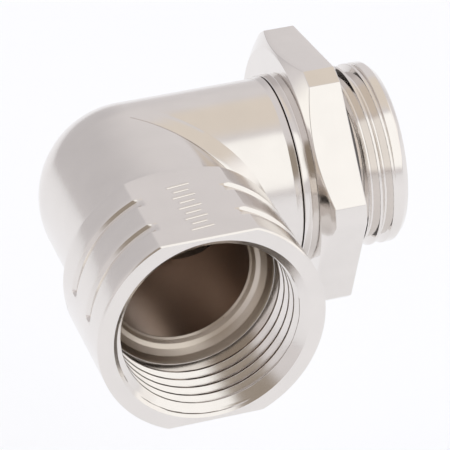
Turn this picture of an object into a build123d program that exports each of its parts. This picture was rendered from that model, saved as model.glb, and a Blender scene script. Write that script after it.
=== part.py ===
# A right-angle swivel gland body in nickel-plated brass, metric M20 x 1.5 at both ends.
# The male axis is X and the female axis points along -Y. The sealing face of the hexagon is at x = 0,
# on the swivel axis, so the origin is where the part meets an enclosure wall. Millimetres.
import os
from math import radians, sqrt, tan

from build123d import *

# thread, ISO M20 x 1.5, drawn as ring grooves of the thread's pitch and profile
pitch = 1.5
thread_depth = 0.81
thread_crest_width = 0.36
thread_root_width = 0.24
male_crest_radius = 9.95
female_crest_radius = 9.19

# swivel hexagon and male end
hex_across_flats = 27.0
hex_corner_radius = 15.0
hex_face_radius = 13.2
hex_thickness = 4.5
hex_chamfer_angle = 30.0
hex_turn = -6.65
male_length = 6.7
male_first_groove = 2.15
male_groove_count = 2
male_undercut_radius = 9.1
male_undercut_end = 1.55
male_end_radius = 9.2
male_end_chamfer = 0.75
male_lead_in = 0.3
cable_way_radius = 7.0
cable_way_edge = 0.5
neck_length = 0.65
neck_radius = 10.8
neck_back_radius = 10.5
sleeve_radius = 8.73
sleeve_end_x = -13.0

# elbow body
corner_x = -21.1
tube_radius = 10.15
tube_lip_radius = 10.35
tube_lip_length = 0.7
tube_lip_edge = 0.1
swivel_gap = 0.25
socket_radius = 8.8
socket_floor_x = -13.35
passage_radius = 7.5
collar_radius = 11.93
collar_back = 15.0
collar_edge = 0.12
flat_half_distance = 10.82
corner_band_width = 2.2
corner_band_shift = 0.15
corner_band_rise = 1.1
corner_band_proud = 0.07

# female bore, measured inwards from its face
female_length = 27.9
entry_radius = 10.28
female_first_groove = 1.2
female_groove_count = 4
relief_start = 7.3
relief_radius = 10.05
shoulder_depth = 8.9
shoulder_radius = 9.35
shoulder_chamfer = 0.2
relief_chamfer = 0.5
lip_curve_sink = 0.45
lip_curve_middle = 1.35
lip_depth = 11.2

# shallow grip grooves round the upper half of the collar
grip_groove_backs = (18.35, 23.35)
grip_groove_width = 1.5
grip_groove_depth = 0.38
grip_groove_front_slope = 0.25
grip_groove_back_slope = 0.5
grip_cutter_margin = 1.0
grip_groove_end_height = 1.7

# seals and snap ring
flange_seal_cord = 0.9
flange_seal_radius = 11.35
flange_recess_depth = 0.95
flange_recess_radius = 12.35
swivel_seal_cord = 0.45
swivel_seal_x = -10.9
swivel_seal_radius = 8.22
swivel_groove_radius = 7.75
swivel_groove_half_width = 0.7
snap_wire_radius = 0.5
snap_ring_x = -7.9
snap_ring_radius = 8.75
snap_ring_arc = 325.0
snap_socket_groove_radius = 9.3
snap_socket_groove_half_width = 0.52
snap_sleeve_groove_radius = 7.65
snap_sleeve_groove_half_width = 0.65

# values that follow from the ones above
hex_back_x = -hex_thickness
neck_back_x = hex_back_x - neck_length
tube_end_x = neck_back_x - swivel_gap
hex_chamfer_height = (hex_corner_radius - hex_face_radius) * tan(radians(hex_chamfer_angle))
entry_depth = entry_radius - female_crest_radius
female_plane = Plane(origin=(corner_x, -female_length, 0), x_dir=(1, 0, 0), z_dir=(0, 0, 1))
female_axis = Axis((corner_x, 0, 0), (0, 1, 0))
band_start = corner_band_shift - corner_band_width / 2
band_plane = Plane(
    origin=(corner_x + band_start / sqrt(2), band_start / sqrt(2), 0),
    x_dir=(1, -1, 0),
    z_dir=(1, 1, 0),
)

os.makedirs("parts", exist_ok=True)


def ring_grooves(first, count, crest, root):
    """Points (along, radius) of thread grooves from a crest down to a root, one per pitch."""
    slope = (pitch - thread_crest_width - thread_root_width) / 2
    points = []
    for turn in range(count):
        start = first + turn * pitch
        points.append((start, crest))
        points.append((start + slope, root))
        points.append((start + slope + thread_root_width, root))
        points.append((start + 2 * slope + thread_root_width, crest))
    return points


# swivel connector: hexagon, male thread, and the sleeve that turns inside the elbow
male_thread_points = ring_grooves(
    male_first_groove, male_groove_count, male_crest_radius, male_crest_radius - thread_depth
)
with BuildPart() as connector:
    with BuildSketch(Plane.YZ.offset(hex_back_x)):
        RegularPolygon(hex_across_flats / 2, 6, major_radius=False, rotation=hex_turn)
    extrude(amount=hex_thickness)
    with BuildSketch(Plane.XZ):
        with BuildLine():
            Polyline(
                (hex_back_x, 0),
                (hex_back_x, hex_face_radius),
                (hex_back_x + hex_chamfer_height, hex_corner_radius),
                (0, hex_corner_radius),
                (0, 0),
                close=True,
            )
        make_face()
    revolve(axis=Axis.X, mode=Mode.INTERSECT)
    with BuildSketch(Plane.XZ):
        with BuildLine():
            Polyline(
                (sleeve_end_x, 0),
                (sleeve_end_x, sleeve_radius - cable_way_edge),
                (sleeve_end_x + cable_way_edge, sleeve_radius),
                (neck_back_x, sleeve_radius),
                (neck_back_x, neck_back_radius),
                (hex_back_x, neck_radius),
                (hex_back_x, flange_seal_radius),
                (-flange_recess_depth, flange_seal_radius),
                (-flange_recess_depth, male_undercut_radius),
                (male_undercut_end, male_undercut_radius),
                (male_undercut_end + male_lead_in, male_crest_radius),
                *male_thread_points,
                (male_length - male_end_chamfer, male_crest_radius),
                (male_length, male_end_radius),
                (male_length, 0),
                close=True,
            )
        make_face()
    revolve(axis=Axis.X)
    with BuildSketch(Plane.XZ):
        with Locations((-flange_recess_depth / 2, (male_undercut_radius + flange_recess_radius) / 2)):
            Rectangle(flange_recess_depth, flange_recess_radius - male_undercut_radius)
        with Locations((swivel_seal_x, sleeve_radius)):
            Rectangle(2 * swivel_groove_half_width, 2 * (sleeve_radius - swivel_groove_radius))
        with Locations((snap_ring_x, sleeve_radius)):
            Rectangle(2 * snap_sleeve_groove_half_width, 2 * (sleeve_radius - snap_sleeve_groove_radius))
        with BuildLine():
            Polyline(
                (sleeve_end_x, 0),
                (sleeve_end_x, cable_way_radius),
                (male_length - cable_way_edge, cable_way_radius),
                (male_length, cable_way_radius + cable_way_edge),
                (male_length, 0),
                close=True,
            )
        make_face()
    revolve(axis=Axis.X, mode=Mode.SUBTRACT)


# grip grooves, cut only round the upper half
with BuildPart() as grip_grooves:
    with BuildSketch(female_plane):
        for back in grip_groove_backs:
            depth = female_length - back
            with BuildLine():
                Polyline(
                    (collar_radius + grip_cutter_margin, depth),
                    (collar_radius, depth),
                    (collar_radius - grip_groove_depth, depth - grip_groove_front_slope),
                    (collar_radius - grip_groove_depth, depth - grip_groove_width + grip_groove_back_slope),
                    (collar_radius, depth - grip_groove_width),
                    (collar_radius + grip_cutter_margin, depth - grip_groove_width),
                    close=True,
                )
            make_face()
    revolve(axis=female_axis)
    split(bisect_by=Plane.XY.offset(grip_groove_end_height), keep=Keep.TOP)


# elbow body: round corner, male-side tube, female collar with two wrench flats, threaded bore
female_thread_points = [
    (radius, along)
    for along, radius in ring_grooves(
        female_first_groove,
        female_groove_count,
        female_crest_radius,
        female_crest_radius + thread_depth,
    )
]
with BuildPart() as elbow_body:
    with Locations((corner_x, 0, 0)):
        Sphere(tube_radius)
    with BuildSketch(Plane.XZ):
        with BuildLine():
            Polyline(
                (corner_x, 0),
                (corner_x, tube_radius),
                (tube_end_x - tube_lip_length, tube_radius),
                (tube_end_x - tube_lip_edge, tube_lip_radius),
                (tube_end_x, tube_lip_radius - tube_lip_edge),
                (tube_end_x, 0),
                close=True,
            )
        make_face()
    revolve(axis=Axis.X)
    with BuildSketch(female_plane):
        with BuildLine():
            Polyline(
                (0, female_length),
                (tube_radius, female_length),
                (tube_radius, female_length - collar_back + collar_radius - tube_radius),
                (collar_radius, female_length - collar_back),
                (collar_radius, collar_edge),
                (collar_radius - collar_edge, 0),
                (0, 0),
                close=True,
            )
        make_face()
    revolve(axis=female_axis)
    with BuildSketch(band_plane):
        with Locations((corner_band_rise, 0)):
            Ellipse(sqrt(2) * tube_radius, tube_radius + corner_band_proud)
        with Locations((-tube_radius, 0)):
            Rectangle(2 * tube_radius, 3 * tube_radius, mode=Mode.SUBTRACT)
    extrude(amount=corner_band_width)
    with Locations((corner_x, 0, 0)):
        Box(4 * female_length, 4 * female_length, 2 * flat_half_distance, mode=Mode.INTERSECT)
    add(grip_grooves.part, mode=Mode.SUBTRACT)
    with BuildSketch(female_plane):
        with BuildLine():
            Polyline(
                (passage_radius, lip_depth),
                (passage_radius, female_length),
                (0, female_length),
                (0, 0),
                (entry_radius, 0),
                (female_crest_radius, entry_depth),
                *female_thread_points,
                (female_crest_radius, relief_start),
                (relief_radius, relief_start + relief_chamfer),
                (relief_radius, shoulder_depth - shoulder_chamfer),
                (shoulder_radius, shoulder_depth),
            )
            ThreePointArc(
                (shoulder_radius, shoulder_depth),
                (shoulder_radius - lip_curve_sink, shoulder_depth + lip_curve_middle),
                (passage_radius, lip_depth),
            )
        make_face()
    revolve(axis=female_axis, mode=Mode.SUBTRACT)
    with Locations((corner_x, 0, 0)):
        Sphere(passage_radius, mode=Mode.SUBTRACT)
    with BuildSketch(Plane.XZ):
        with BuildLine():
            Polyline(
                (corner_x, 0),
                (corner_x, passage_radius),
                (socket_floor_x, passage_radius),
                (socket_floor_x, socket_radius),
                (tube_end_x, socket_radius),
                (tube_end_x, 0),
                close=True,
            )
        make_face()
        with Locations((snap_ring_x, socket_radius)):
            Rectangle(
                2 * snap_socket_groove_half_width, 2 * (snap_socket_groove_radius - socket_radius)
            )
    revolve(axis=Axis.X, mode=Mode.SUBTRACT)


# flange seal: O-ring in the recess round the thread's root, proud of the hexagon's sealing face
with BuildPart() as flange_oring:
    with BuildSketch(Plane.XZ):
        with Locations((flange_seal_cord - flange_recess_depth, flange_seal_radius)):
            Circle(flange_seal_cord)
    revolve(axis=Axis.X)


# swivel seal: O-ring in the sleeve's groove
with BuildPart() as swivel_oring:
    with BuildSketch(Plane.XZ):
        with Locations((swivel_seal_x, swivel_seal_radius)):
            Circle(swivel_seal_cord)
    revolve(axis=Axis.X)


# snap ring: open wire ring that holds the sleeve in the elbow
with BuildPart() as snap_ring:
    with BuildSketch(Plane.XZ):
        with Locations((snap_ring_x, snap_ring_radius)):
            Circle(snap_wire_radius)
    revolve(axis=Axis.X, revolution_arc=snap_ring_arc)


connector.part.label = "connector"
elbow_body.part.label = "elbow_body"
flange_oring.part.label = "flange_oring"
swivel_oring.part.label = "swivel_oring"
snap_ring.part.label = "snap_ring"

export_step(connector.part, "parts/connector.step")
export_step(elbow_body.part, "parts/elbow_body.step")
export_step(flange_oring.part, "parts/flange_oring.step")
export_step(swivel_oring.part, "parts/swivel_oring.step")
export_step(snap_ring.part, "parts/snap_ring.step")
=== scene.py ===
# The visual model of the right-angle swivel gland body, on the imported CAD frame.
import math

import bmesh
import bpy
import numpy as np
from mathutils import Matrix, Vector


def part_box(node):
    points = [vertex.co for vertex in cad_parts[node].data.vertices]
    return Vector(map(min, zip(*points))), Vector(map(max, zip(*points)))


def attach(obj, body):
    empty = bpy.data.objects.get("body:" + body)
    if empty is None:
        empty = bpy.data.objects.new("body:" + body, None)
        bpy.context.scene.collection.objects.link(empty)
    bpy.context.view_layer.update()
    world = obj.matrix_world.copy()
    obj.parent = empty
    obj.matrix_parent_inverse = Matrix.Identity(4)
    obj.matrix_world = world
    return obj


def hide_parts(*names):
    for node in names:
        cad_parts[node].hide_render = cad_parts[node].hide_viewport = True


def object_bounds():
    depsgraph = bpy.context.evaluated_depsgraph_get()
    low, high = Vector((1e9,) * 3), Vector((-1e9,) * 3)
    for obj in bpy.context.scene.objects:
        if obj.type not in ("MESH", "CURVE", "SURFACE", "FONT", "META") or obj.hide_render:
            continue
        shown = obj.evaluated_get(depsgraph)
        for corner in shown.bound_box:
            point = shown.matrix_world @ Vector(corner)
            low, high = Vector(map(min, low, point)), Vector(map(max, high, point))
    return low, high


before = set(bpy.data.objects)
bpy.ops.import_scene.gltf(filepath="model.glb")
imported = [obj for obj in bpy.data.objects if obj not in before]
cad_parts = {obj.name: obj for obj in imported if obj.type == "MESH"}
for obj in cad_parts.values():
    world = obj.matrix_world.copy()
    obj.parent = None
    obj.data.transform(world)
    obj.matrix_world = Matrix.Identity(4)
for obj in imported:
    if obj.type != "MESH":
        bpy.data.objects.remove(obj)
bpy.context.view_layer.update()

MM = 0.001

# Main sizes in millimetres, as in the CAD. The two axes cross at the corner. Distances along the
# female axis are counted from the corner, and those along the male axis of the connector from
# START_X, which is START_OFFSET from the corner and 0.6 beyond the sealing face.
COLLAR_R = 11.93
CORNER = Vector((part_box("elbow_body")[0][0] / MM + COLLAR_R, 0.0, 0.0))
START_OFFSET = 21.7
START_X = CORNER.x + START_OFFSET
TUBE_R = 10.15
COLLAR_BACK = 15.0
FACE = 27.9
FLAT_H = 10.82
TUBE_END = 15.7
PASSAGE_R = 7.5
SOCKET_R = 8.8
SOCKET_FLOOR = 7.75
CREST_R = 9.19
PITCH = 1.5
HALF_FLATS = 13.5
HEX_CORNER_R = 15.0
HEX_FACE_R = 13.2
HEX_THICK = 5.1
HEX_TURN = 23.35
SEAT_X = -0.6
ENTRY_R = 10.28
RELIEF_R = 10.05
GRIP_STARTS = (18.35, 23.35)
GRIP_DEPTH = 0.38
GROOVE_END_H = 1.7
CABLE_R = 7.0
SLEEVE_R = 8.73
SEAL_GROOVE = (-12.2, -10.8, 7.75)
SNAP_GROOVE = (-9.15, -7.85, 7.65)
SNAP_R = 8.75
NECK_BACK_X = -5.9
NECK_R = 10.4
RECESS_X = -1.55
RECESS_R = 12.35
MALE_ROOT_R = 9.1
MALE_CREST_R = 9.95
MALE_END_X = 6.1
LIP_DEPTH = 11.3


# ---------------------------------------------------------------- mesh tools
def soft_min(a, b, k):
    """Smaller of two arrays, rounded over about k where they cross."""
    h = np.clip(0.5 + 0.5 * (b - a) / k, 0, 1)
    return b + (a - b) * h - k * h * (1 - h)


def smooth_step(x, lo, hi):
    t = np.clip((x - lo) / (hi - lo), 0, 1)
    return t * t * (3 - 2 * t)


def rounded(corners, size, runs=None):
    """Rows of points along a profile whose corners are rounded.

    corners is a list of (along, radius, rounding); along and radius may differ round the part.
    size is the number of points round the part. runs gives extra rows on the straight run that
    follows a corner."""
    runs = runs or {}
    pts = [np.stack([np.broadcast_to(c[0], size), np.broadcast_to(c[1], size)], 1).astype(float)
           for c in corners]
    rows = []
    last = len(pts) - 1
    for i, p in enumerate(pts):
        fillet = corners[i][2]
        if i in (0, last) or fillet <= 0:
            here = [p]
        else:
            to_prev, to_next = pts[i - 1] - p, pts[i + 1] - p
            len_prev = np.linalg.norm(to_prev, axis=1, keepdims=True) + 1e-9
            len_next = np.linalg.norm(to_next, axis=1, keepdims=True) + 1e-9
            a, b = to_prev / len_prev, to_next / len_next
            cosine = np.clip((a * b).sum(1, keepdims=True), -0.9999, 0.9999)
            half = np.arccos(cosine) / 2
            reach = np.minimum(fillet / np.tan(half), 0.45 * np.minimum(len_prev, len_next))
            w = np.sin(half)
            here = []
            for s in np.linspace(0, 1, 5):
                top = (1 - s) ** 2 * (p + a * reach) + 2 * s * (1 - s) * w * p + s * s * (p + b * reach)
                here.append(top / ((1 - s) ** 2 + 2 * s * (1 - s) * w + s * s))
        if rows and runs.get(i - 1):
            n = runs[i - 1]
            start = rows[-1]
            rows += [start + (here[0] - start) * k / n for k in range(1, n)]
        rows += here
    return rows


class Skin:
    """Collects grids of points in millimetres and welds them into one mesh."""

    def __init__(self):
        self.points, self.faces, self.count = [], [], 0

    def grid(self, rows, wrap=True, flip=False):
        g = np.stack(rows)
        n, m = g.shape[:2]
        ids = self.count + np.arange(n * m).reshape(n, m)
        self.points.append(g.reshape(-1, 3))
        self.count += n * m
        right = np.roll(ids, -1, axis=1) if wrap else ids[:, 1:]
        left = ids if wrap else ids[:, :-1]
        quads = np.stack([left[:-1], right[:-1], right[1:], left[1:]], -1).reshape(-1, 4)
        self.faces.append(quads[:, ::-1] if flip else quads)

    def build(self, name, sharp=32.0):
        points = np.concatenate(self.points) * MM
        faces = np.concatenate(self.faces)
        mesh = bpy.data.meshes.new(name)
        mesh.vertices.add(len(points))
        mesh.vertices.foreach_set("co", points.ravel())
        mesh.loops.add(faces.size)
        mesh.loops.foreach_set("vertex_index", faces.ravel())
        mesh.polygons.add(len(faces))
        mesh.polygons.foreach_set("loop_start", np.arange(0, faces.size, 4))
        mesh.update(calc_edges=True)
        bm = bmesh.new()
        bm.from_mesh(mesh)
        bmesh.ops.remove_doubles(bm, verts=bm.verts, dist=2e-6)
        bmesh.ops.dissolve_degenerate(bm, edges=bm.edges, dist=1e-6)
        bmesh.ops.recalc_face_normals(bm, faces=bm.faces)
        bm.to_mesh(mesh)
        bm.free()
        finish_mesh(mesh, sharp)
        piece = bpy.data.objects.new(name, mesh)
        bpy.context.scene.collection.objects.link(piece)
        return piece


def finish_mesh(mesh, sharp=32.0):
    mesh.polygons.foreach_set("use_smooth", np.ones(len(mesh.polygons), dtype=bool))
    mesh.set_sharp_from_angle(angle=math.radians(sharp))
    mesh.update()


def soften(piece, inside):
    """Clears the sharp marks of edges whose two ends are both inside a region, such as a thread."""
    mesh = piece.data
    held = np.array([inside(v.co / MM) for v in mesh.vertices])
    ends = np.empty(2 * len(mesh.edges), dtype=np.int32)
    mesh.edges.foreach_get("vertices", ends)
    ends = ends.reshape(-1, 2)
    marks = mesh.attributes.get("sharp_edge")
    if marks:
        sharp = np.empty(len(mesh.edges), dtype=bool)
        marks.data.foreach_get("value", sharp)
        sharp &= ~(held[ends[:, 0]] & held[ends[:, 1]])
        marks.data.foreach_set("value", sharp)
        mesh.update()


def angles(step, specials, reach, fine):
    """Angles round a full circle, finer near the special ones."""
    base = list(np.arange(-180, 180, step))
    for s in specials:
        base = [a for a in base if abs((a - s + 180) % 360 - 180) > reach]
        base += list(s + np.arange(-reach, reach + 1e-6, fine))
    wrapped = sorted({round((a + 180) % 360 - 180, 4) for a in base})
    return np.radians(np.array(wrapped))


def round_y(rows, theta):
    """Profile rows (distance from the corner, radius) set round the female axis, -Y."""
    return [np.stack([CORNER.x + r[:, 1] * np.cos(theta), -r[:, 0], r[:, 1] * np.sin(theta)], 1)
            for r in rows]


def round_x(rows, theta, origin=None):
    """Profile rows (distance from the corner, radius) set round the male axis, X."""
    start = CORNER.x if origin is None else origin
    return [np.stack([start + r[:, 0], -r[:, 1] * np.cos(theta), r[:, 1] * np.sin(theta)], 1)
            for r in rows]


def thread_groove(phase, width=0.62, root=0.1):
    """Depth of a thread groove, 0 to 1, where phase counts pitches from a groove's middle."""
    off = np.abs((phase + 0.5) % 1 - 0.5) * PITCH
    return np.clip((width - off) / (width - root), 0, 1)


# ---------------------------------------------------------------- elbow body
rim = math.degrees(math.asin(FLAT_H / COLLAR_R))
groove_end = math.degrees(math.asin(GROOVE_END_H / COLLAR_R))
theta = angles(1.0, [rim, 180 - rim, -rim, rim - 180, groove_end, 180 - groove_end], 3.0, 0.3)
cosine, sine = np.cos(theta), np.sin(theta)

limit = FLAT_H / np.maximum(np.abs(sine), 0.3)
outer = soft_min(np.full_like(theta, COLLAR_R), limit, 0.06)
window = smooth_step(sine * COLLAR_R, 1.45, 1.85)
grooved = outer - window * (outer - np.minimum(outer, COLLAR_R - GRIP_DEPTH))
start = np.maximum(0, TUBE_R * cosine)
back = COLLAR_BACK - (COLLAR_R - TUBE_R)

outside = [(start, TUBE_R, 0), (back, TUBE_R, 0.25), (back + outer - TUBE_R, outer, 0.12)]
for first in GRIP_STARTS:
    outside += [
        (first, outer, 0.05),
        (first + 0.22, grooved, 0.08),
        (first + 0.95, grooved, 0.12),
        (first + 1.5, outer, 0.06),
    ]
outside += [
    (FACE - 0.16, outer, 0.03),
    (FACE, outer - 0.16, 0.03),
    (FACE, ENTRY_R, 0.04),
]
outer_rows = rounded(outside, len(theta), {0: 10, 2: 4, 6: 4, 10: 4})

# threaded bore, by depth from the face; the groove is a true helix, right-handed
depth = np.concatenate([np.linspace(0.0, 8.6, 190), np.linspace(8.64, 8.9, 6)])
bore_rows = []
for d in depth:
    entry = ENTRY_R - d
    turn = (d - 1.42) / PITCH + theta / (2 * math.pi)
    groove = CREST_R + 0.8 * thread_groove(turn)
    radius = np.maximum(np.maximum(entry, CREST_R), np.where(d < 7.6, groove, 0))
    relief = CREST_R + np.clip((d - 7.25) / 0.35, 0, 1) * (RELIEF_R - CREST_R)
    if d > 7.25:
        radius = np.maximum(radius, relief)
    bore_rows.append(np.stack([np.full_like(theta, FACE - d), np.maximum(radius, 0)], 1))
shoulder = FACE - 8.9
dish = [
    (shoulder, RELIEF_R, 0),
    (shoulder, 9.42, 0.06),
    (shoulder - 0.25, 9.28, 0.06),
    (shoulder - 0.9, 8.98, 0.5),
    (shoulder - 1.5, 8.45, 0.5),
    (shoulder - 1.75, 8.0, 0.3),
    (shoulder - 2.15, 7.72, 0.12),
    (shoulder - 2.35, PASSAGE_R, 0.12),
    (np.maximum(0, PASSAGE_R * cosine), PASSAGE_R, 0),
]
dish_rows = rounded(dish, len(theta), {7: 8})

elbow = Skin()
elbow.grid(round_y(outer_rows + bore_rows[1:] + dish_rows, theta))

male_side = [
    (start, TUBE_R, 0),
    (TUBE_END - 0.75, TUBE_R, 0.4),
    (TUBE_END - 0.12, TUBE_R + 0.2, 0.06),
    (TUBE_END, TUBE_R + 0.08, 0.04),
    (TUBE_END, SOCKET_R + 0.3, 0.04),
    (TUBE_END - 0.3, SOCKET_R, 0.04),
    (TUBE_END - 1.97, SOCKET_R, 0),
    (TUBE_END - 1.97, SOCKET_R + 0.5, 0),
    (TUBE_END - 3.03, SOCKET_R + 0.5, 0),
    (TUBE_END - 3.03, SOCKET_R, 0),
    (SOCKET_FLOOR, SOCKET_R, 0.1),
    (SOCKET_FLOOR, PASSAGE_R, 0.05),
    (np.maximum(0, PASSAGE_R * cosine), PASSAGE_R, 0),
]
elbow.grid(round_x(rounded(male_side, len(theta), {0: 10}), theta), flip=True)

# round outside and inside of the corner, between the two half circles
half = np.concatenate([theta[(theta >= math.pi / 2 - 1e-9)], theta[(theta <= -math.pi / 2 + 1e-9)]])
for radius, flip in ((TUBE_R, False), (PASSAGE_R, True)):
    rows = []
    for turn in np.linspace(0, math.pi / 2, 31):
        flat = -radius * np.cos(half)
        rows.append(np.stack([CORNER.x - flat * math.cos(turn), flat * math.sin(turn),
                              radius * np.sin(half)], 1))
    elbow.grid(rows, wrap=False, flip=flip)
elbow_piece = elbow.build("elbow_casting")

# band in the inner corner where the two tubes meet
across = Vector((1, 1, 0)).normalized()
outwards = Vector((1, -1, 0)).normalized()
BAND_BACK_R = 9.0
BAND_PROUD = 0.05
BAND_LOW, BAND_HIGH = -0.75, 1.55
# the band's section: distance across the inner corner, and rise above the line where the tubes meet
BAND = [
    (BAND_LOW, 0.5),
    (BAND_LOW, 0.82),
    (-0.70, 0.87),
    (0.0, 1.04),
    (0.7, 1.24),
    (1.42, 1.50),
    (1.47, 1.43),
    (BAND_HIGH, 1.10),
]
band = Skin()
rows = []
for a in np.radians(np.linspace(-90, 90, 121)):
    reach = math.sqrt(2) * math.cos(a)
    front_z, back_z = (TUBE_R + BAND_PROUD) * math.sin(a), BAND_BACK_R * math.sin(a)
    section = [(t, reach * TUBE_R + rise, front_z) for t, rise in BAND]
    section += [(t, reach * BAND_BACK_R, back_z) for t in (BAND_HIGH, BAND_LOW)]
    t, s, h = np.array(section).T
    x = CORNER.x + s * outwards.x + t * across.x
    rows.append(np.stack([x, s * outwards.y + t * across.y, h], 1))
for row, at in ((rows[0], 0), (rows[-1], len(rows) + 1)):
    middle = np.broadcast_to(row.mean(0), row.shape)
    rows.insert(at, middle + (row - middle) * 0.001)
band.grid(rows)
band_piece = band.build("corner_band")


# ---------------------------------------------------------------- connector
def hex_radius(phi):
    """Distance to the hexagon's flats, with its turned corners, round the swivel axis."""
    turn = math.radians(90 - HEX_TURN)
    sector = (phi - turn + math.pi / 6) % (math.pi / 3) - math.pi / 6
    flats = HALF_FLATS / np.cos(np.pi / 6 - np.abs(sector))
    return soft_min(flats, np.full_like(phi, HEX_CORNER_R), 0.05)


# angle in round_x runs from -Y through +Z; the hexagon's corners are 60 degrees apart
corner_angles = [90 - HEX_TURN + 60 * k for k in range(6)]
turned = 30 - math.degrees(math.acos(HALF_FLATS / HEX_CORNER_R))
specials = [a + s * turned for a in corner_angles for s in (-1, 1)]
phi = angles(1.0, [(a + 180) % 360 - 180 for a in specials], 1.5, 0.25)
hex_r = hex_radius(phi)
slope = math.tan(math.radians(30))
rise = (hex_r - HEX_FACE_R) * slope

sleeve_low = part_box("connector")[0][0] / MM - START_X
before = [
    (sleeve_low, CABLE_R, 0),
    (sleeve_low, SLEEVE_R - 0.5, 0.1),
    (sleeve_low + 0.5, SLEEVE_R, 0.1),
]
for back_x, front_x, floor_r in (SEAL_GROOVE, SNAP_GROOVE):
    before += [
        (back_x, SLEEVE_R, 0.05),
        (back_x, floor_r, 0.05),
        (front_x, floor_r, 0.05),
        (front_x, SLEEVE_R, 0.05),
    ]
before += [
    (NECK_BACK_X, SLEEVE_R, 0.02),
    (NECK_BACK_X, NECK_R - 0.1, 0.05),
    (NECK_BACK_X + 0.08, NECK_R - 0.02, 0.04),
    (-HEX_THICK, NECK_R, 0.06),
    (-HEX_THICK, HEX_FACE_R, 0.05),
    (-HEX_THICK + rise, hex_r, 0.1),
    (SEAT_X - 0.1, hex_r, 0.04),
    (SEAT_X, hex_r - 0.1, 0.04),
    (SEAT_X, RECESS_R, 0.05),
    (RECESS_X, RECESS_R, 0.05),
    (RECESS_X, MALE_ROOT_R, 0.1),
    (0.8, MALE_ROOT_R, 0),
]
front_rows = rounded(before, len(phi), {14: 5, 15: 3, 16: 6})
male_rows = []
for x in np.linspace(0.82, 5.0, 200):
    run_in = MALE_ROOT_R + (x - 0.9) * 1.6
    turn = (x - 2.1) / PITCH + phi / (2 * math.pi)
    groove = MALE_CREST_R - 0.84 * thread_groove(turn)
    close = smooth_step(np.full_like(phi, x), 4.2, 4.5)
    radius = np.maximum(groove, MALE_ROOT_R + (MALE_CREST_R - MALE_ROOT_R) * close)
    radius = np.minimum(radius, max(run_in, MALE_ROOT_R))
    male_rows.append(np.stack([np.full_like(phi, x), radius], 1))
after = [
    (5.05, MALE_CREST_R, 0),
    (5.42, MALE_CREST_R, 0.35),
    (MALE_END_X, 9.3, 0.2),
    (MALE_END_X, CABLE_R + 0.5, 0.08),
    (MALE_END_X - 0.5, CABLE_R, 0.1),
    (sleeve_low, CABLE_R, 0),
]
after_rows = rounded(after, len(phi), {4: 6})
connector = Skin()
connector.grid(round_x(front_rows + male_rows + after_rows, phi, START_X))
connector_piece = connector.build("connector_turned")


# ---------------------------------------------------------------- seals and snap ring
def ring(name, x, radius, cord, start=0.0, sweep=360.0):
    """A round-section ring about the swivel axis, open if it sweeps less than a full turn."""
    skin = Skin()
    section = np.linspace(0, 2 * math.pi, 41)[:-1]
    steps = np.radians(np.linspace(start, start + sweep, 241))
    rows = []
    for a in steps:
        r = radius + cord * np.cos(section)
        rows.append(np.stack([x + cord * np.sin(section), -r * math.cos(a), r * math.sin(a)], 1))
    if sweep < 360:
        for row, at in ((rows[0], 0), (rows[-1], len(rows) + 1)):
            centre = np.broadcast_to(row.mean(0), row.shape)
            rows.insert(at, centre + (row - centre) * 0.001)
    skin.grid(rows)
    return skin.build(name)


def ring_sizes(low, high):
    """Place along the swivel axis, radius to the outside and cord radius of the ring in a box."""
    return (low[0] + high[0]) / 2 / MM, high[2] / MM, (high[0] - low[0]) / 2 / MM


x, outside_r, cord = ring_sizes(*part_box("flange_oring"))
flange_seal = ring("flange_seal", x, outside_r - cord, cord)
x, outside_r, cord = ring_sizes(*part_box("swivel_oring"))
swivel_seal = ring("swivel_seal", x, outside_r - cord, cord)
x, outside_r, cord = ring_sizes(*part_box("snap_ring"))
snap = ring("snap_wire", x, SNAP_R, cord, start=20.0, sweep=325.0)


# ---------------------------------------------------------------- generic raised bars on the top flat
def bar(skin, x, y, length, width, height, turn=0.0):
    """A small raised bar with sloping, rounded sides, standing on the top flat."""
    outline = []
    for a in np.linspace(0, 2 * math.pi, 25)[:-1]:
        end = length / 2 - width / 2
        px = math.copysign(end, math.cos(a)) + math.cos(a) * width / 2
        outline.append((px, math.sin(a) * width / 2))
    outline = np.array(outline)
    c, s = math.cos(turn), math.sin(turn)
    rows = []
    sides = ((1.5, -1), (1.5, 0), (1.2, 0.55), (0.9, 0.9), (0.55, 1), (0.02, 1))
    for grow, up in sides:
        z = height * up
        shrink = outline * [1 - (1 - grow) * width / length, grow]
        px = x + shrink[:, 0] * c - shrink[:, 1] * s
        py = y + shrink[:, 0] * s + shrink[:, 1] * c
        rows.append(np.stack([CORNER.x + px, py, np.full(len(px), FLAT_H + z)], 1))
    skin.grid(rows)


marks = Skin()
for k in range(9):
    y = -17.2 - 1.06 * k
    bar(marks, -0.05, y, 2.5 if k % 2 == 0 else 1.7, 0.26, 0.1, 0.12)
marks_piece = marks.build("flat_marks", 60)


# ---------------------------------------------------------------- join the elbow's parts
def union(target, tool):
    mod = target.modifiers.new("join", "BOOLEAN")
    mod.operation = "UNION"
    mod.solver = "EXACT"
    mod.object = tool
    dg = bpy.context.evaluated_depsgraph_get()
    made = bpy.data.meshes.new_from_object(target.evaluated_get(dg))
    target.modifiers.clear()
    target.data = made
    bpy.data.objects.remove(tool)
    finish_mesh(made)


# ---------------------------------------------------------------- materials
def node(tree, kind, **values):
    made = tree.nodes.new(kind)
    for key, value in values.items():
        if key in made.inputs:
            made.inputs[key].default_value = value
        else:
            setattr(made, key, value)
    return made


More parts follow.
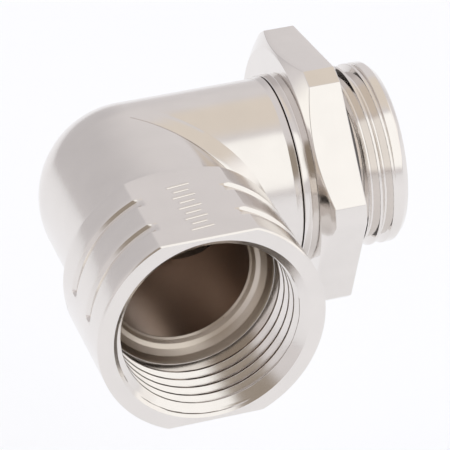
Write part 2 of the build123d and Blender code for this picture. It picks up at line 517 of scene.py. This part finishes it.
def nickel(name, colour, rough, grain):
    """Bright nickel plate: fine polishing haze, slight colour drift, faint waviness."""
    mat = bpy.data.materials.new(name)
    mat.use_nodes = True
    tree = mat.node_tree
    shader = tree.nodes["Principled BSDF"]
    shader.inputs["Metallic"].default_value = 1.0
    place = node(tree, "ShaderNodeTexCoord")
    cloud = node(tree, "ShaderNodeTexNoise", Scale=260.0, Detail=5.0, Roughness=0.6)
    tree.links.new(place.outputs["Object"], cloud.inputs["Vector"])
    tint = node(tree, "ShaderNodeValToRGB")
    tint.color_ramp.elements[0].position = 0.3
    tint.color_ramp.elements[0].color = (*[c * 0.96 for c in colour], 1)
    tint.color_ramp.elements[1].position = 0.7
    tint.color_ramp.elements[1].color = (*colour, 1)
    tree.links.new(cloud.outputs["Fac"], tint.inputs["Fac"])
    tree.links.new(tint.outputs["Color"], shader.inputs["Base Color"])
    haze = node(tree, "ShaderNodeTexNoise", Scale=1400.0, Detail=4.0, Roughness=0.7)
    tree.links.new(place.outputs["Object"], haze.inputs["Vector"])
    spread = node(tree, "ShaderNodeMapRange")
    spread.inputs["To Min"].default_value = rough * 0.8
    spread.inputs["To Max"].default_value = rough * 1.25
    tree.links.new(haze.outputs["Fac"], spread.inputs["Value"])
    tree.links.new(spread.outputs["Result"], shader.inputs["Roughness"])
    pits = node(tree, "ShaderNodeTexNoise", Scale=3200.0, Detail=3.0)
    tree.links.new(place.outputs["Object"], pits.inputs["Vector"])
    bump = node(tree, "ShaderNodeBump", Strength=grain, Distance=0.00002)
    tree.links.new(pits.outputs["Fac"], bump.inputs["Height"])
    tree.links.new(bump.outputs["Normal"], shader.inputs["Normal"])
    return mat


def rubber(name):
    mat = bpy.data.materials.new(name)
    mat.use_nodes = True
    tree = mat.node_tree
    shader = tree.nodes["Principled BSDF"]
    shader.inputs["Roughness"].default_value = 0.55
    place = node(tree, "ShaderNodeTexCoord")
    dust = node(tree, "ShaderNodeTexNoise", Scale=900.0, Detail=6.0)
    tree.links.new(place.outputs["Object"], dust.inputs["Vector"])
    tint = node(tree, "ShaderNodeValToRGB")
    tint.color_ramp.elements[0].color = (0.045, 0.04, 0.038, 1)
    tint.color_ramp.elements[1].color = (0.095, 0.086, 0.082, 1)
    tree.links.new(dust.outputs["Fac"], tint.inputs["Fac"])
    tree.links.new(tint.outputs["Color"], shader.inputs["Base Color"])
    bump = node(tree, "ShaderNodeBump", Strength=0.3, Distance=0.00002)
    tree.links.new(dust.outputs["Fac"], bump.inputs["Height"])
    tree.links.new(bump.outputs["Normal"], shader.inputs["Normal"])
    return mat


plate = nickel("nickel_plate_cast", (0.80, 0.765, 0.735), 0.16, 0.05)
# rougher nickel for the cable passage; its darker, browner colour is painted shade deep inside the
# elbow
shaded_passage_plate = nickel("nickel_passage_painted_shade", (0.58, 0.48, 0.41), 0.36, 0.25)
# rougher nickel for the dished lip; its darker colour is painted shade in the recess below the thread
shaded_lip_plate = nickel("nickel_lip_painted_shade", (0.64, 0.57, 0.50), 0.3, 0.15)
plate_turned = nickel("nickel_plate_turned", (0.81, 0.775, 0.745), 0.09, 0.03)
steel = nickel("spring_wire", (0.5, 0.5, 0.5), 0.25, 0.3)
seal = rubber("nitrile_rubber")

union(elbow_piece, band_piece)
union(elbow_piece, marks_piece)

soften(connector_piece, lambda v: 0.85 < v.x - START_X < 4.9 and math.hypot(v.y, v.z) < 10)
soften(elbow_piece, lambda v: 0.9 < v.y + FACE < 7.5 and 9 < math.hypot(v.x - CORNER.x, v.z) < 10.05)

for piece, body, nodes, slot, material in (
    (elbow_piece, "elbow", ["elbow_body"], "nickel", plate),
    (connector_piece, "connector_body", ["connector"], "nickel", plate_turned),
    (flange_seal, "connector_body", ["flange_oring"], "seal_rubber", seal),
    (swivel_seal, "connector_body", ["swivel_oring"], "seal_rubber", seal),
    (snap, "elbow", ["snap_ring"], "spring_steel", steel),
):
    piece.data.materials.clear()
    piece.data.materials.append(material)
    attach(piece, body)
    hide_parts(*nodes)

# the cable way inside the elbow is unpolished, and so is the dished lip in front of it; both also get a
# darker colour, which is painted shade deep in these hollows
elbow_piece.data.materials.append(shaded_passage_plate)
elbow_piece.data.materials.append(shaded_lip_plate)
for face in elbow_piece.data.polygons:
    x, y, z = face.center / MM - Vector((CORNER.x, 0, 0))
    female, male, ball = math.hypot(x, z), math.hypot(y, z), math.hypot(x, y, z)
    to_passage = min(female if y < 0 else ball, male if x > 0 else ball, ball)
    # faces of the cable passage: rougher finish, with painted shade in the colour
    if to_passage < PASSAGE_R + 0.05 and y > LIP_DEPTH - FACE:
        face.material_index = 1
    # faces of the dished lip: rougher finish, with painted shade in the colour
    elif female < 9.45 and 8.95 - FACE < y < LIP_DEPTH + 0.1 - FACE:
        face.material_index = 2


# ---------------------------------------------------------------- floor, light, camera
low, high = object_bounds()
floor_mesh = bpy.data.meshes.new("studio_floor")
size = 3.0
corners = [(-size, -size, 0), (size, -size, 0), (size, size, 0), (-size, size, 0)]
floor_mesh.from_pydata(corners, [], [(0, 1, 2, 3)])
floor = bpy.data.objects.new("studio_floor", floor_mesh)
floor.location = (0, 0, low[2] - 0.05)
bpy.context.scene.collection.objects.link(floor)
white = bpy.data.materials.new("studio_white")
white.use_nodes = True
white.node_tree.nodes["Principled BSDF"].inputs["Base Color"].default_value = (0.90, 0.925, 0.965, 1)
white.node_tree.nodes["Principled BSDF"].inputs["Roughness"].default_value = 0.9
floor.data.materials.append(white)

world = bpy.data.worlds.new("studio")
bpy.context.scene.world = world
world.use_nodes = True
sky = world.node_tree
background = sky.nodes["Background"]
direction = node(sky, "ShaderNodeTexCoord").outputs["Generated"]
surround = node(sky, "ShaderNodeRGB").outputs["Color"]
surround.default_value = (0.80, 0.775, 0.785, 1)


def towards(azimuth, elevation):
    """Unit vector away from the object. Azimuth 0 is +Y and 90 is +X."""
    a, e = math.radians(azimuth), math.radians(elevation)
    return Vector((math.sin(a) * math.cos(e), math.cos(a) * math.cos(e), math.sin(e)))


def patch(under, colour, azimuth, elevation, full, none):
    """Blends a soft round patch of light over the surroundings so far, and returns the result.
    full and none are angles in degrees from the patch's middle."""
    dot = node(sky, "ShaderNodeVectorMath", operation="DOT_PRODUCT")
    dot.inputs[1].default_value = towards(azimuth, elevation)
    sky.links.new(direction, dot.inputs[0])
    mask = node(sky, "ShaderNodeMapRange", interpolation_type="SMOOTHSTEP")
    mask.inputs["From Min"].default_value = math.cos(math.radians(none))
    mask.inputs["From Max"].default_value = math.cos(math.radians(full))
    sky.links.new(dot.outputs["Value"], mask.inputs["Value"])
    mix = node(sky, "ShaderNodeMix", data_type="RGBA")
    sky.links.new(mask.outputs["Result"], mix.inputs["Factor"])
    sky.links.new(under, mix.inputs["A"])
    mix.inputs["B"].default_value = (*colour, 1)
    return mix.outputs["Result"]


for colour, azimuth, elevation, full, none in (
    ((0.63, 0.61, 0.625), -14, 10, 14, 34),
    ((0.84, 0.77, 0.69), 56, 58, 18, 32),
    ((1.2, 1.18, 1.15), 100, 14, 18, 38),
    ((1.2, 1.2, 1.18), 148, 36, 30, 37),
    ((0.36, 0.31, 0.255), -156, 34, 15, 26),
    ((1.2, 1.19, 1.15), -72, -2, 10, 25),
):
    surround = patch(surround, colour, azimuth, elevation, full, none)
sky.links.new(surround, background.inputs["Color"])
background.inputs["Strength"].default_value = 1.0

centre = Vector((CORNER.x + 8.8, -4.2, -3.1)) * MM


# one wide soft light overhead, which reflections don't show
lamp_data = bpy.data.lights.new("overhead", "AREA")
lamp_data.shape = "RECTANGLE"
lamp_data.size = lamp_data.size_y = 1.0
lamp_data.energy = 4.6
lamp = bpy.data.objects.new("overhead", lamp_data)
overhead = towards(0, 88)
lamp.location = centre + overhead * 1.2
lamp.rotation_euler = overhead.to_track_quat("Z", "Y").to_euler()
lamp.visible_glossy = False
bpy.context.scene.collection.objects.link(lamp)

# camera: long lens, from the front left and above
azimuth, elevation, roll, distance = -16.9, 31.27, -1.96, 0.332
away = towards(180 - azimuth, elevation)
camera_data = bpy.data.cameras.new("camera")
camera_data.sensor_width = 36.0
camera_data.lens = 248.4
camera_data.clip_start = 0.01
camera_data.clip_end = 50
camera = bpy.data.objects.new("camera", camera_data)
facing = away.to_track_quat("Z", "Y").to_matrix().to_4x4()
turn = facing @ Matrix.Rotation(math.radians(roll), 4, "Z")
camera.matrix_world = Matrix.Translation(centre + away * distance) @ turn
bpy.context.scene.collection.objects.link(camera)
bpy.context.scene.camera = camera
bpy.context.scene.view_settings.view_transform = "Standard"

bpy.context.view_layer.update()
